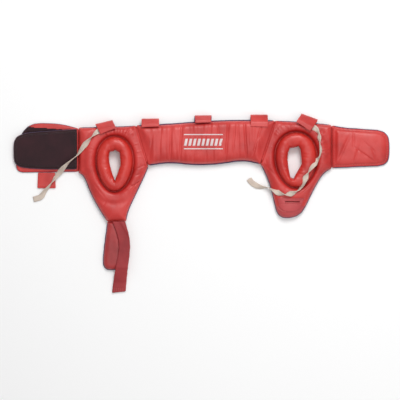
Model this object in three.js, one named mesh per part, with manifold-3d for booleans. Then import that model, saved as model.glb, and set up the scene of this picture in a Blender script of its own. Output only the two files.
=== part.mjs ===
// Padded head guard for boxing and martial arts, lying open and flat with its outer face up.
// Units are millimetres.  +X runs along the band, +Y points to the crown edge, +Z is outward.
import * as THREE from 'three';
import { mergeVertices } from 'three/addons/utils/BufferGeometryUtils.js';
import Module from 'manifold-3d';

const wasm = await Module();
wasm.setup();

// ---- driving dimensions ----
const GAP = 0.3;                 // clearance between touching pieces
const LEATHER = 1.4;             // wall of every leather cover
const LINING_TOP = 3.5;          // padded lining, resting on z = 0
const PAD_BOTTOM = LINING_TOP + GAP;
const COVER_LIP = 9;             // how far a cover wraps round under its foam
const EAR_COVER_LIP = 6;
const RING_COVER_LIP = 7;
const LINING_ROUND = 0.6;
const LINING_INSET = 3;          // a lining's edge, in from the outline of its pad
const FOREHEAD_TOP = 20;
const FOREHEAD_ROUND = 7;
const EAR_TOP = 17;
const EAR_ROUND = 5.5;
const RING_TOP = 24;
const RING_ROUND = 6.6;
const RING_GROOVE = 1.2;         // gap round a ring
const HOLE_BINDING = 3;          // how far the lining stands back from an ear hole

// where the forehead pad is divided at its two fold lines
const BEND_LEFT_X = -42;
const BEND_RIGHT_X = 40;
const BEND_GAP = 0.4;
const FOREHEAD_X = [-130, 140];  // beyond both ends of the forehead pad
const CUTTER_Y = [-60, 200];     // beyond every piece, for cutting tools
const CUTTER_Z = [-5, 60];

// left closure, three layers
const NECK_FLAP_TOP = 3.4;
const CLOSURE_LEFT_TOP = 8.4;
const CLOSURE_LEFT_ROUND = 1.6;
const THIN_LEATHER = 0.9;
const LOOP_FABRIC = 1.1;
const LOOP_FABRIC_INSET = 3.4;
const NECK_FLAP_ROUND = 1.2;
// right closure
const HOOK_FABRIC = 1.2;
const CLOSURE_RIGHT_TOP = 9.5;
const CLOSURE_RIGHT_ROUND = 3;
const CLOSURE_RIGHT_CORE_ROUND = 2.4;
const HOOK_FABRIC_INSET = 5;
const SHEET_ROUND = 0.3;         // edge rounding of the hook and loop fabrics
const CORE_LIFT = 0.2;           // a closure's foam above the mouth of its cover
const MOUTH_INSET = 0.6;

// lace
const LACE_WIDTH = 9.5;
const LACE_THICKNESS = 1.2;
const LACE_BEHIND_Z = 2.6;       // centre height of the lace behind the crown edge
const LACE_INSET = 6;            // its centre line, in from the crown edge
const LACE_STEP = 12;            // length of one step of a swept lace

// lace loops
const LOOP_WIDTH = 30;
const LOOP_WALL = 1.3;
const LOOP_FRONT_LEG = 8;
const LOOP_BACK_LEG = 9;

// chin pieces
const CHIN_PAD_BOTTOM = 1.5;
const CHIN_PAD_TOP = 9;
const CHIN_PAD_ROUND = 2.8;
const CHIN_PAD_WALL = 1.2;
const CHIN_CORE_ROUND = 2;
const CHIN_LINING_INSET = 2.4;
const STRAP_THICKNESS = 2.2;
const STRAP_BOTTOM = CHIN_PAD_TOP + 0.4;
// the strap seen from the side, as [y, z] of its underside: along the pad, over its end, onto the table
const STRAP_RUN = [[-20, STRAP_BOTTOM], [-108, STRAP_BOTTOM], [-122, 4], [-134, 0.3], [-160, 0.3]];
const STRAP_REACH = [-165, -105];          // x range that the swept strap is cut from
const KEEPER_THICKNESS = 1.2;

const CURVE_STEPS = 3;            // straight steps in one rounded corner
const OUTER_ROUND_STEPS = 2;      // straight steps in a cover's rounded edge
const OUTLINE_CENTRE = [0.755, 1.197];
const CHANNEL_WIDTH = 21;
const CHANNEL_HEIGHT = 12;

// generic print: a bold bar between two thin rules
const PRINT_X = [-29, 37];
const PRINT_THICKNESS = 0.35;
const PRINT_CLEARANCE = 0.05;
const PRINT_BANDS = {
  print_lower_rule: [92.1, 93.9],
  print_bar: [98, 110],
  print_upper_rule: [116.1, 117.9],
};

// ---- materials ----
const plain = (color, roughness = 0.6) => new THREE.MeshStandardMaterial({ color, roughness, metalness: 0 });
const RED_LEATHER = plain(0xc23230, 0.45);
const DARK_RED = plain(0xa02828, 0.5);
const FOAM = plain(0xd8d2c0, 0.9);
const LINING = plain(0x4a4ca0, 0.9);
const LOOP_PILE = plain(0x2c1a20, 1.0);
const HOOK_PILE = plain(0x1c1c20, 0.8);
const LACE = plain(0xe2d0c0, 0.85);
const PRINT = plain(0xf4f0ec, 0.5);
const STRAP = plain(0xb83a3a, 0.8);

// ---- outlines: each corner is [x, y, radius], radius 0 for a sharp corner ----
const LEFT_EAR_OUTLINE = [
  [-207, 129, 0], [-150, 130, 30], [-110, 132, 0], [-90, 62, 0], [-103, 33, 20], [-124, -10, 20],
  [-127.6, -28.9, 0], [-158.8, -28.9, 0], [-168, -16, 18], [-187, 18, 25], [-197, 46, 12], [-207, 54, 0],
];
const RIGHT_EAR_OUTLINE = [
  [125.2, 140.3, 0], [163, 139, 30], [221.2, 133.4, 0], [221.2, 60.5, 0], [206, 52, 14], [187, 18, 25],
  [169, -22, 20], [131, -25, 16], [118.5, 31, 25], [107, 58, 14], [101.2, 68.2, 0],
];
const FOREHEAD_OUTLINE = [
  [-109.4, 132, 0], [-69, 133.6, 25], [18, 140, 25], [72, 141.4, 25], [124.6, 140.3, 0], [100.6, 68.2, 0],
  [73, 75.2, 16], [28, 68, 20], [-10, 66.6, 16], [-55, 71.4, 20], [-89.4, 66, 0],
];
const RIGHT_CLOSURE_OUTLINE = [
  [222.2, 132.6, 0], [240, 128.8, 14], [319.5, 123.2, 20], [319.2, 65.6, 18], [222.2, 61.5, 0],
];
const LEFT_CLOSURE_OUTLINE = [
  [-208.6, 127, 0], [-298, 120.6, 14], [-318, 112, 14], [-317.6, 63, 16], [-273, 58.8, 20], [-208.6, 58.8, 0],
];
const NECK_FLAP_OUTLINE = [
  [-208.2, 127.6, 0], [-242, 136.6, 24], [-292, 136.6, 18], [-311, 110, 16], [-314.6, 53.6, 12], [-208.2, 55, 0],
];
const NECK_LOOP_OUTLINE = [
  [-219, 127.9, 0], [-247, 134.2, 18], [-287, 133.4, 12], [-296, 124, 0], [-290, 121.8, 0],
];
const CHIN_PAD_OUTLINE = [
  [-158.4, -30.2, 0], [-166.2, -90, 25], [-165, -112.6, 13], [-136, -111, 12], [-134, -66, 25], [-142, -30.2, 0],
];
const CHIN_STRAP_OUTLINE = [
  [-150, -29.8, 0], [-136, -68, 25], [-148, -122, 30], [-151.4, -151.4, 0],
  [-128, -149, 0], [-124.5, -113, 30], [-118, -66, 25], [-128.3, -29.8, 0],
];
const KEEPER_OUTLINE = [[129, 9.6, 0], [175, 9.6, 0], [165, -13, 12], [135, -13, 12]];

// ear openings: centre, half width, half height, and how much narrower the lower end is
const LEFT_RING = { x: -146.2, y: 67.7, halfWidth: 30.3, halfHeight: 45.9, taper: 0.12 };
const LEFT_HOLE = { x: -146.3, y: 65.8, halfWidth: 8.6, halfHeight: 26.2, taper: 0.42 };
const RIGHT_RING = { x: 161, y: 74.5, halfWidth: 34.3, halfHeight: 46.2, taper: 0.12 };
const RIGHT_HOLE = { x: 158.3, y: 74.6, halfWidth: 11.6, halfHeight: 27.8, taper: 0.36 };
const RING_POINTS = 24;

// the crown edge, from end to end of the padded band
const CROWN = [[-207, 129], [-150, 130], [-110, 132], [-69, 133.6], [18, 140], [72, 141.4], [163, 139], [222, 133.4]];

// the slit in the right lobe that the chin strap goes through
const SLIT = { x0: 141.5, x1: 167.5, y: 3.2, wide: 3 };
const PULL_TAB = { x0: -278, x1: -246.8, y0: 26.6, y1: 53.2, bottom: 0.3, top: 2.4, round: 0.6, narrowing: 1 };

// tilt turns the loop in the plane of the band; lift makes room for the lace where it comes to the front
const LOOPS = [
  { x: -162, reach: 10, tilt: 18, top: EAR_TOP, lift: 3 },
  { x: -86, reach: 11.5, tilt: 0, top: FOREHEAD_TOP, lift: 0.3 },
  { x: 3.5, reach: 11.5, tilt: 0, top: FOREHEAD_TOP, lift: 0.3 },
  { x: 98.3, reach: 10.5, tilt: 0, top: FOREHEAD_TOP, lift: 0.3 },
  { x: 180, reach: 12, tilt: -20, top: EAR_TOP, lift: 3 },
];

// ---- the lace's turns over the crown edge and its two loose ends, as [x, y, z] ----
const TURN_REACH = 2.8;           // how far a turn stands out from the crown edge
const TURN_LEFT_X = -156;
const TURN_RIGHT_X = 176;
const LEFT_TAIL = [
  [-161.4, 121, 17.9], [-175, 118, 17.9], [-193, 105, 17.9], [-206, 91, 17.8], [-216, 79, 14.5],
  [-227, 67, 11.6], [-238, 55, 10.6], [-248, 43, 6.5], [-256, 33, 3.7], [-264, 25, 3.6],
  [-271, 14, 1.6], [-284.8, 7.3, 0.9],
];
const RIGHT_TAIL = [
  [181.4, 127.5, 17.9], [190, 124, 17.9], [198.5, 112, 17.9], [203, 92, 18.4], [202, 84, 21.5],
  [198, 75, 25], [191, 66.5, 25.4], [181.5, 53, 25.4], [175, 40, 25.4], [170, 31, 25.4], [165, 23.6, 22],
  [156.6, 17.6, 18.2], [143, 16.4, 18], [130, 19, 18], [119, 25, 18], [110, 27.6, 11], [101.4, 28, 3.4],
  [93, 31, 0.9], [81.3, 42.5, 0.9],
];
const SEAM_LEFT_LACE_X = -109.8;
const SEAM_RIGHT_LACE_X = 122.6;

// ---- helpers ----
function towards(from, to, distance) {
  const step = new THREE.Vector2().subVectors(to, from);
  return step.setLength(Math.min(distance, step.length() * 0.48)).add(from);
}

function outline(corners) {
  const shape = new THREE.Shape();
  corners.forEach(([x, y, radius], i) => {
    const here = new THREE.Vector2(x, y);
    const before = corners.at(i - 1);
    const after = corners[(i + 1) % corners.length];
    const start = radius ? towards(here, new THREE.Vector2(before[0], before[1]), radius) : here;
    if (i === 0) shape.moveTo(start.x, start.y);
    else shape.lineTo(start.x, start.y);
    if (!radius) return;
    const end = towards(here, new THREE.Vector2(after[0], after[1]), radius);
    shape.quadraticCurveTo(here.x, here.y, end.x, end.y);
  });
  shape.closePath();
  return shape;
}

// an egg-shaped closed curve, narrower towards its lower end
function egg({ x, y, halfWidth, halfHeight, taper }, grow = 0) {
  const points = [];
  for (let i = 0; i < RING_POINTS; i++) {
    const angle = (i / RING_POINTS) * 2 * Math.PI;
    const side = Math.sin(angle) * (1 + taper * Math.cos(angle));
    points.push(new THREE.Vector2(x + (halfWidth + grow) * side, y + (halfHeight + grow) * Math.cos(angle)));
  }
  return points;
}

function solidOf(geometry) {
  const bare = geometry.clone();
  bare.deleteAttribute('normal');
  bare.deleteAttribute('uv');
  const merged = mergeVertices(bare, 1e-4);
  return new wasm.Manifold(new wasm.Mesh({
    numProp: 3,
    vertProperties: new Float32Array(merged.attributes.position.array),
    triVerts: new Uint32Array(merged.index.array),
  }));
}

function geometryOf(solid) {
  const mesh = solid.getMesh();
  const geometry = new THREE.BufferGeometry();
  geometry.setAttribute('position', new THREE.BufferAttribute(new Float32Array(mesh.vertProperties), 3));
  geometry.setIndex(new THREE.BufferAttribute(new Uint32Array(mesh.triVerts), 1));
  return geometry;
}

// a slab between two heights, drawn in from its outline, with rounded upper and lower edges
function slab(shape, bottom, top, round = 0, inset = 0, roundSteps = 1) {
  const geometry = new THREE.ExtrudeGeometry(shape, {
    depth: top - bottom - 2 * round,
    bevelEnabled: round > 0 || inset !== 0,
    bevelThickness: round,
    bevelSize: round,
    bevelOffset: -round - inset,
    bevelSegments: roundSteps,
    curveSegments: CURVE_STEPS,
  });
  geometry.translate(0, 0, bottom + round);
  return solidOf(geometry);
}

function box(x0, x1, y0, y1, z0, z1) {
  const geometry = new THREE.BoxGeometry(x1 - x0, y1 - y0, z1 - z0);
  geometry.translate((x0 + x1) / 2, (y0 + y1) / 2, (z0 + z1) / 2);
  return solidOf(geometry);
}

// a leather cover: a cap that wraps round under the foam and is open below
function cover(shape, bottom, top, round, lip = COVER_LIP) {
  const inside = slab(shape, bottom + LEATHER, top - LEATHER, round - LEATHER / 2, LEATHER);
  const mouth = slab(shape, bottom - 1, bottom + LEATHER + 1, 0.1, lip);
  return slab(shape, bottom, top, round, 0, OUTER_ROUND_STEPS).subtract(inside).subtract(mouth);
}

function foam(shape, bottom, top, round) {
  const clear = LEATHER + GAP;
  return slab(shape, bottom + clear, top - clear, round - LEATHER / 2, clear);
}

// a flat section swept along a curve, its width kept level
function ribbon(points, width, thickness) {
  const curve = new THREE.CatmullRomCurve3(points.map((p) => new THREE.Vector3(...p)), false, 'centripetal');
  const steps = Math.max(2, Math.round(curve.getLength() / LACE_STEP));
  const half = width / 2;
  const rise = thickness / 2;
  const section = new THREE.Shape([
    [-half, 0], [-half + rise, -rise], [0, -rise], [half - rise, -rise],
    [half, 0], [half - rise, rise], [0, rise], [-half + rise, rise],
  ].map(([x, y]) => new THREE.Vector2(x, y)));
  const geometry = new THREE.ExtrudeGeometry(section, { depth: 1, steps, bevelEnabled: false });
  const position = geometry.attributes.position;
  for (let i = 0; i < position.count; i++) {
    const along = Math.min(Math.max(position.getZ(i), 0), 1);
    const place = curve.getPointAt(along);
    const tangent = curve.getTangentAt(along);
    const side = new THREE.Vector3(-tangent.y, tangent.x, 0).normalize();
    const up = new THREE.Vector3().crossVectors(tangent, side);
    place.addScaledVector(side, position.getX(i)).addScaledVector(up, position.getY(i));
    position.setXYZ(i, place.x, place.y, place.z);
  }
  return solidOf(geometry);
}

function crownY(x) {
  const i = Math.max(1, CROWN.findIndex(([knot]) => knot >= x));
  const [[x0, y0], [x1, y1]] = [CROWN[i - 1], CROWN[i]];
  return y0 + ((y1 - y0) * (x - x0)) / (x1 - x0);
}

// the open guard's outline is centred on the origin
const group = new THREE.Group();
group.position.set(-OUTLINE_CENTRE[0], -OUTLINE_CENTRE[1], 0);

function add(name, solid, material) {
  const mesh = new THREE.Mesh(geometryOf(solid), material);
  mesh.name = name;
  group.add(mesh);
}

// ---- lace behind the crown edge, and the channel it needs ----
function laceBehind(x0, x1) {
  const knots = CROWN.map(([x]) => x).filter((x) => x > x0 + 8 && x < x1 - 8);
  const stations = [x0, ...knots, x1];
  return stations.map((x) => [x, crownY(x) - LACE_INSET, LACE_BEHIND_Z]);
}

const laceChannel = ribbon(laceBehind(-206.9, 221), CHANNEL_WIDTH, CHANNEL_HEIGHT);

// ---- forehead: one long pad, bending in three sections ----
function section(solid, x0, x1) {
  return solid.intersect(box(x0, x1, ...CUTTER_Y, ...CUTTER_Z));
}

function addForehead() {
  const shape = outline(FOREHEAD_OUTLINE);
  const skin = cover(shape, PAD_BOTTOM, FOREHEAD_TOP, FOREHEAD_ROUND);
  const core = foam(shape, PAD_BOTTOM, FOREHEAD_TOP, FOREHEAD_ROUND);
  const lining = slab(shape, 0, LINING_TOP, LINING_ROUND, LINING_INSET).subtract(laceChannel);
  const sections = {
    left: [FOREHEAD_X[0], BEND_LEFT_X - BEND_GAP / 2],
    centre: [BEND_LEFT_X + BEND_GAP / 2, BEND_RIGHT_X - BEND_GAP / 2],
    right: [BEND_RIGHT_X + BEND_GAP / 2, FOREHEAD_X[1]],
  };
  for (const [side, [x0, x1]] of Object.entries(sections)) {
    add(`forehead_${side}_cover`, section(skin, x0, x1), RED_LEATHER);
    add(`forehead_${side}_foam`, section(core, x0, x1), FOAM);
    add(`forehead_${side}_lining`, section(lining, x0, x1), LINING);
  }
}

function addPrint() {
  const bottom = FOREHEAD_TOP + PRINT_CLEARANCE;
  for (const [name, [y0, y1]] of Object.entries(PRINT_BANDS)) {
    add(name, box(PRINT_X[0], PRINT_X[1], y0, y1, bottom, bottom + PRINT_THICKNESS), PRINT);
  }
}

// ---- ear panels ----
function withHole(corners, hole) {
  const shape = outline(corners);
  shape.holes.push(new THREE.Path(hole.reverse()));
  return shape;
}

function slit() {
  return box(SLIT.x0, SLIT.x1, SLIT.y - SLIT.wide / 2, SLIT.y + SLIT.wide / 2, ...CUTTER_Z);
}

function addEar(side, corners, ring, hole, cut) {
  const panel = withHole(corners, egg(ring, RING_GROOVE));
  const skin = cover(panel, PAD_BOTTOM, EAR_TOP, EAR_ROUND, EAR_COVER_LIP);
  const core = foam(panel, PAD_BOTTOM, EAR_TOP, EAR_ROUND);
  const sheet = withHole(corners, egg(hole, HOLE_BINDING));
  const lining = slab(sheet, 0, LINING_TOP, LINING_ROUND, LINING_INSET).subtract(laceChannel);
  const trim = (solid) => (cut ? solid.subtract(cut) : solid);
  add(`${side}_ear_cover`, trim(skin), RED_LEATHER);
  add(`${side}_ear_foam`, trim(core), FOAM);
  add(`${side}_ear_lining`, trim(lining), LINING);
  const tube = new THREE.Shape(egg(ring));
  tube.holes.push(new THREE.Path(egg(hole).reverse()));
  add(`${side}_ear_ring_cover`, cover(tube, PAD_BOTTOM, RING_TOP, RING_ROUND, RING_COVER_LIP), RED_LEATHER);
  add(`${side}_ear_ring_core`, foam(tube, PAD_BOTTOM, RING_TOP, RING_ROUND), FOAM);
}

function addStrapKeeper() {
  const patch = slab(outline(KEEPER_OUTLINE), EAR_TOP + GAP, EAR_TOP + GAP + KEEPER_THICKNESS);
  add('chin_strap_keeper', patch.subtract(slit()), DARK_RED);
}

// ---- closures ----
function addLeftClosure() {
  const flap = outline(LEFT_CLOSURE_OUTLINE);
  const bottom = NECK_FLAP_TOP + GAP;
  const hollow = slab(flap, bottom - 1, CLOSURE_LEFT_TOP - THIN_LEATHER, 1, THIN_LEATHER + MOUTH_INSET);
  const skin = slab(flap, bottom, CLOSURE_LEFT_TOP, CLOSURE_LEFT_ROUND).subtract(hollow);
  add('left_closure_cover', skin, RED_LEATHER);
  const clear = THIN_LEATHER + GAP;
  const core = slab(flap, bottom + CORE_LIFT, CLOSURE_LEFT_TOP - clear, 1, clear + MOUTH_INSET);
  add('left_closure_foam', core, FOAM);
  const pileBottom = CLOSURE_LEFT_TOP + GAP;
  const pile = slab(flap, pileBottom, pileBottom + LOOP_FABRIC, SHEET_ROUND, LOOP_FABRIC_INSET);
  add('left_closure_loop_panel', pile, LOOP_PILE);
}

function addNeckFlap() {
  add('neck_flap', slab(outline(NECK_FLAP_OUTLINE), 0, NECK_FLAP_TOP, NECK_FLAP_ROUND), RED_LEATHER);
  const bottom = NECK_FLAP_TOP + GAP;
  add('neck_flap_loop_panel', slab(outline(NECK_LOOP_OUTLINE), bottom, bottom + LOOP_FABRIC), LOOP_PILE);
}

function addPullTab() {
  const { x0, x1, y0, y1, bottom, top, round, narrowing } = PULL_TAB;
  const shape = outline([[x0, y0, 0], [x1, y0, 0], [x1 - narrowing, y1, 0], [x0 + narrowing, y1, 0]]);
  add('pull_tab', slab(shape, bottom, top, round), STRAP);
}

function addRightClosure() {
  const tab = outline(RIGHT_CLOSURE_OUTLINE);
  const bottom = HOOK_FABRIC + GAP;
  const round = CLOSURE_RIGHT_CORE_ROUND;
  const hollow = slab(tab, bottom - 1, CLOSURE_RIGHT_TOP - LEATHER, round, LEATHER + MOUTH_INSET);
  const skin = slab(tab, bottom, CLOSURE_RIGHT_TOP, CLOSURE_RIGHT_ROUND).subtract(hollow);
  add('right_closure_cover', skin, RED_LEATHER);
  const clear = LEATHER + GAP;
  const core = slab(tab, bottom + CORE_LIFT, CLOSURE_RIGHT_TOP - clear, round, clear + MOUTH_INSET);
  add('right_closure_foam', core, FOAM);
  add('right_closure_hook_panel', slab(tab, 0, HOOK_FABRIC, SHEET_ROUND, HOOK_FABRIC_INSET), HOOK_PILE);
}

// ---- chin pad and strap, hinged on the seam under the left lobe ----
function addChinPad() {
  const shape = outline(CHIN_PAD_OUTLINE);
  const bottom = CHIN_PAD_BOTTOM;
  const round = CHIN_CORE_ROUND;
  const hollow = slab(shape, bottom - 1, CHIN_PAD_TOP - CHIN_PAD_WALL, round, round);
  add('chin_pad_cover', slab(shape, bottom, CHIN_PAD_TOP, CHIN_PAD_ROUND).subtract(hollow), RED_LEATHER);
  const coreTop = CHIN_PAD_TOP - CHIN_PAD_WALL - GAP;
  add('chin_pad_foam', slab(shape, bottom + CORE_LIFT, coreTop, round, round + GAP), FOAM);
  add('chin_pad_lining', slab(shape, 0, bottom - GAP, SHEET_ROUND, CHIN_LINING_INSET), LINING);
}

function addChinStrap() {
  const plan = slab(outline(CHIN_STRAP_OUTLINE), -1, 30);
  const top = (y, z) => [y, z + STRAP_THICKNESS];
  const side = [...STRAP_RUN, ...STRAP_RUN.map(([y, z]) => top(y, z)).reverse()];
  const shape = new THREE.Shape(side.map(([y, z]) => new THREE.Vector2(y, z)));
  const depth = STRAP_REACH[1] - STRAP_REACH[0];
  const profile = new THREE.ExtrudeGeometry(shape, { depth, bevelEnabled: false });
  // stand the profile up in the YZ plane, running along X
  profile.applyMatrix4(new THREE.Matrix4().makeBasis(
    new THREE.Vector3(0, 1, 0), new THREE.Vector3(0, 0, 1), new THREE.Vector3(1, 0, 0)));
  profile.translate(STRAP_REACH[0], 0, 0);
  add('chin_strap', plan.intersect(solidOf(profile)), STRAP);
}

// ---- lace loops on the crown edge ----
// an open C-shaped strip round the crown edge, standing in the YZ plane and extruded along X
function clasp(frontLeg, backLeg, reach, topZ, bottomZ, wall, width) {
  const nose = (topZ + bottomZ) * 0.36;
  const line = [[-frontLeg, topZ], [-1, topZ - 0.6], [reach * 0.8, nose + 4], [reach, nose],
    [reach * 0.8, bottomZ + (nose - bottomZ) * 0.35], [reach * 0.4, bottomZ], [-backLeg, bottomZ]];
  const inner = line.map(([y, z]) => new THREE.Vector2(y, z));
  const outer = inner.map((point, i) => {
    const before = inner[Math.max(i - 1, 0)];
    const after = inner[Math.min(i + 1, inner.length - 1)];
    const along = new THREE.Vector2().subVectors(after, before).normalize();
    return new THREE.Vector2(point.x - along.y * wall, point.y + along.x * wall);
  });
  const shape = new THREE.Shape([...inner, ...outer.reverse()]);
  const geometry = new THREE.ExtrudeGeometry(shape, { depth: width, bevelEnabled: false });
  geometry.translate(0, 0, -width / 2);
  geometry.applyMatrix4(new THREE.Matrix4().makeBasis(
    new THREE.Vector3(0, 1, 0), new THREE.Vector3(0, 0, 1), new THREE.Vector3(1, 0, 0)));
  return geometry;
}

function addLaceLoops() {
  const rim = (corners, top, round) => slab(
    outline(corners), PAD_BOTTOM - GAP, top + GAP, round, -GAP, OUTER_ROUND_STEPS);
  const rims = rim(FOREHEAD_OUTLINE, FOREHEAD_TOP, FOREHEAD_ROUND)
    .add(rim(LEFT_EAR_OUTLINE, EAR_TOP, EAR_ROUND))
    .add(rim(RIGHT_EAR_OUTLINE, EAR_TOP, EAR_ROUND));
  LOOPS.forEach(({ x, reach, tilt, top, lift }, i) => {
    const inside = top + lift + LOOP_WALL;
    const strip = clasp(LOOP_FRONT_LEG, LOOP_BACK_LEG, reach, inside, GAP, -LOOP_WALL, LOOP_WIDTH);
    strip.rotateZ(THREE.MathUtils.degToRad(tilt));
    strip.translate(x, crownY(x), 0);
    add(`lace_loop_${i + 1}`, solidOf(strip).subtract(rims), RED_LEATHER);
  });
}

// ---- lace ----
function turn(x, name) {
  const bottom = LACE_BEHIND_Z + LACE_THICKNESS / 2;
  const strip = clasp(
    LOOP_FRONT_LEG, LOOP_BACK_LEG, TURN_REACH, EAR_TOP + GAP, bottom, LACE_THICKNESS, LACE_WIDTH);
  strip.translate(x, crownY(x), 0);
  add(name, solidOf(strip), LACE);
}

function addLace() {
  const half = LACE_WIDTH / 2 + GAP;
  const stretches = {
    lace_left_ear: [TURN_LEFT_X + half, SEAM_LEFT_LACE_X - GAP],
    lace_left: [SEAM_LEFT_LACE_X + GAP, BEND_LEFT_X - GAP],
    lace_centre: [BEND_LEFT_X + GAP, BEND_RIGHT_X - GAP],
    lace_right: [BEND_RIGHT_X + GAP, SEAM_RIGHT_LACE_X - GAP],
    lace_right_ear: [SEAM_RIGHT_LACE_X + GAP, TURN_RIGHT_X - half],
  };
  for (const [name, [x0, x1]] of Object.entries(stretches)) {
    add(name, ribbon(laceBehind(x0, x1), LACE_WIDTH, LACE_THICKNESS), LACE);
  }
  turn(TURN_LEFT_X, 'lace_turn_left');
  turn(TURN_RIGHT_X, 'lace_turn_right');
  add('lace_tail_left', ribbon(LEFT_TAIL, LACE_WIDTH, LACE_THICKNESS), LACE);
  add('lace_tail_right', ribbon(RIGHT_TAIL, LACE_WIDTH, LACE_THICKNESS), LACE);
}

addForehead();
addPrint();
addEar('left', LEFT_EAR_OUTLINE, LEFT_RING, LEFT_HOLE);
addEar('right', RIGHT_EAR_OUTLINE, RIGHT_RING, RIGHT_HOLE, slit());
addStrapKeeper();
addLeftClosure();
addNeckFlap();
addPullTab();
addRightClosure();
addChinPad();
addChinStrap();
addLaceLoops();
addLace();

export default group;
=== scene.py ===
# Looks of the padded head guard: leather pads, ear rings, laces, straps and hook-and-loop closures.
# Everything is in metres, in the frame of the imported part.
import math

import bmesh
import bpy
import numpy as np
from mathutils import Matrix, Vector, noise
from mathutils.bvhtree import BVHTree


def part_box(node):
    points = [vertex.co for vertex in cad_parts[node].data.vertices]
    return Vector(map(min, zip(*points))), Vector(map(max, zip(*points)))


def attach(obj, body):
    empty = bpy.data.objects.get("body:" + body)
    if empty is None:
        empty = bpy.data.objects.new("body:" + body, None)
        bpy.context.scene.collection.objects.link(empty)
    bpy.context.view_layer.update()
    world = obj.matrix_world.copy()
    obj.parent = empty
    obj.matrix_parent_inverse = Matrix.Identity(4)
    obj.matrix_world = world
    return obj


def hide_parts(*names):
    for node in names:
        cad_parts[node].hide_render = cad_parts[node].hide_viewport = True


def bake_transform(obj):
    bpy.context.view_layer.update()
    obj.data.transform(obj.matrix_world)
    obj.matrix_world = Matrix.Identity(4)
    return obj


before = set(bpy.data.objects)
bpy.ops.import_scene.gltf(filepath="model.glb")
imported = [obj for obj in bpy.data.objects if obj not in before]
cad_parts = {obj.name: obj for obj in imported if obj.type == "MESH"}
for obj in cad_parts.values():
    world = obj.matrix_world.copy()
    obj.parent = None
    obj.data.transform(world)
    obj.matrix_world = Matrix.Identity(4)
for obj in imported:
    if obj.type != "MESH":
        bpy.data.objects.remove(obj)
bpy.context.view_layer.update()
MM = 0.001
DOWN = Vector((0, 0, -1))
ABOVE_ALL = 0.1          # a height above every piece, in metres

# the part's own frame is shifted from the drawing's by this much
SHIFT = np.array([-0.755, -1.197, 0.0])


def at(x, y, z=0.0):
    """A point of the drawing, in millimetres, as metres in the row frame."""
    return Vector(((x + SHIFT[0]) * MM, (y + SHIFT[1]) * MM, z * MM))


# ---- camera, light and floor ----
VIEW_CENTRE = at(-1.7, 6.5)
VIEW_WIDTH = 0.680
CAMERA_HEIGHT = 3.0      # high enough to keep raised parts near their outlines
SENSOR_WIDTH = 36
FLOOR_REACH = 6.0
FLOOR_LEVEL = -0.0006    # just under the part, in metres
SKY = 0.46


def add_camera():
    data = bpy.data.cameras.new("camera")
    data.sensor_width = SENSOR_WIDTH
    data.lens = SENSOR_WIDTH * CAMERA_HEIGHT / VIEW_WIDTH
    camera = bpy.data.objects.new("camera", data)
    camera.location = (VIEW_CENTRE.x, VIEW_CENTRE.y, CAMERA_HEIGHT)
    bpy.context.scene.collection.objects.link(camera)
    bpy.context.scene.camera = camera


def area_light(name, location, size, power, colour=(1, 1, 1)):
    data = bpy.data.lights.new(name, "AREA")
    data.shape = "DISK"
    data.size = size
    data.energy = power
    data.color = colour
    light = bpy.data.objects.new(name, data)
    light.location = location
    light.rotation_euler = (-Vector(location)).to_track_quat("-Z", "Y").to_euler()
    bpy.context.scene.collection.objects.link(light)


def add_studio():
    bpy.context.scene.view_settings.view_transform = "Standard"
    area_light("key", (0.25, 1.05, 1.35), 0.7, 14.5)
    area_light("top", (0.15, 0.1, 1.9), 1.4, 8)
    area_light("fill", (0.9, -0.9, 1.1), 1.2, 4)
    world = bpy.data.worlds.new("studio")
    world.use_nodes = True
    world.node_tree.nodes["Background"].inputs["Color"].default_value = (1, 1, 1, 1)
    world.node_tree.nodes["Background"].inputs["Strength"].default_value = SKY
    bpy.context.scene.world = world
    mesh = bpy.data.meshes.new("floor")
    reach, level = FLOOR_REACH, FLOOR_LEVEL
    corners = [(x * reach, y * reach, level) for x, y in ((-1, -1), (1, -1), (1, 1), (-1, 1))]
    mesh.from_pydata(corners, [], [(0, 1, 2, 3)])
    floor = bpy.data.objects.new("floor", mesh)
    bpy.context.scene.collection.objects.link(floor)
    floor.data.materials.append(pale_floor())


# ---- materials ----
def new_material(name):
    material = bpy.data.materials.new(name)
    material.use_nodes = True
    tree = material.node_tree
    shader = tree.nodes["Principled BSDF"]
    return material, tree, shader


def node(tree, kind, **inputs):
    made = tree.nodes.new(kind)
    for key, value in inputs.items():
        made.inputs[key.replace("_", " ")].default_value = value
    return made


def noise_at(tree, scale, detail=3.0, roughness=0.5):
    """Noise over the object's own coordinates, with features about 1 / scale metres across."""
    place = tree.nodes.get("place") or tree.nodes.new("ShaderNodeTexCoord")
    place.name = "place"
    made = node(tree, "ShaderNodeTexNoise", Scale=scale, Detail=detail, Roughness=roughness)
    tree.links.new(place.outputs["Object"], made.inputs["Vector"])
    return made


def ramp(tree, source, stops):
    made = tree.nodes.new("ShaderNodeValToRGB")
    tree.links.new(source, made.inputs["Fac"])
    elements = made.color_ramp.elements
    while len(elements) < len(stops):
        elements.new(0.5)
    for element, (position, colour) in zip(elements, stops):
        element.position = position
        element.color = (*colour, 1)
    return made


def bump(tree, shader, height, strength, distance):
    made = node(tree, "ShaderNodeBump", Strength=strength, Distance=distance)
    tree.links.new(height, made.inputs["Height"])
    tree.links.new(made.outputs["Normal"], shader.inputs["Normal"])
    return made


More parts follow.
